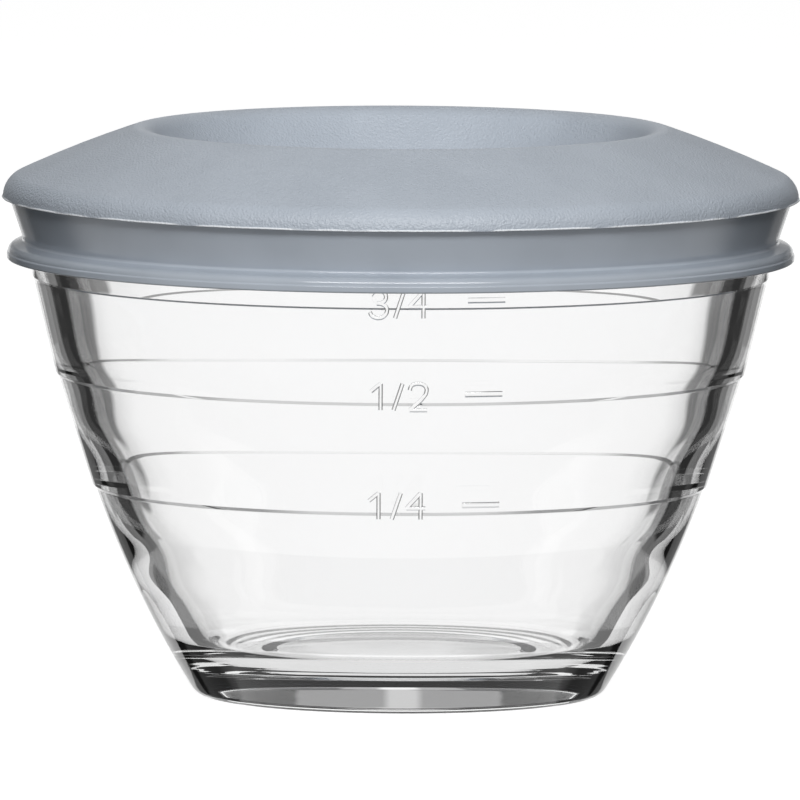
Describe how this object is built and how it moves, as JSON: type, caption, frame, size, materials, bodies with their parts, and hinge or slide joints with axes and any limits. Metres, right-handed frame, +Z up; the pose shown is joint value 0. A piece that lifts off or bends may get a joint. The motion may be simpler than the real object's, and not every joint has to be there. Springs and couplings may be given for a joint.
{
  "type": "prep bowl",
  "caption": "Clear pressed-glass prep bowl with stepped sides and a heavy base, closed by a press-on plastic lid whose dished top takes the foot of the next bowl in a stack.",
  "frame": {"origin": "on the surface the bowl stands on, below the centre of its foot", "axes": "+Z up along the axis of both round pieces, with the bowl's graduations facing -Y"},
  "size_m": [0.0994, 0.0994, 0.0711],
  "materials": {
    "clear_glass": "clear colourless pressed glass, fire-polished",
    "lid_plastic": "blue-grey moulded polyethylene, fine matte texture on top and smooth on the skirt"
  },
  "bodies": {
    "bowl": {"bowl": "clear_glass"},
    "lid": {"lid": "lid_plastic"}
  },
  "joints": [
    {"name": "lid_lift", "type": "slide", "parent": "bowl", "child": "lid", "axis": [0, 0, 1], "range_m": [0, 0.08]}
  ]
}
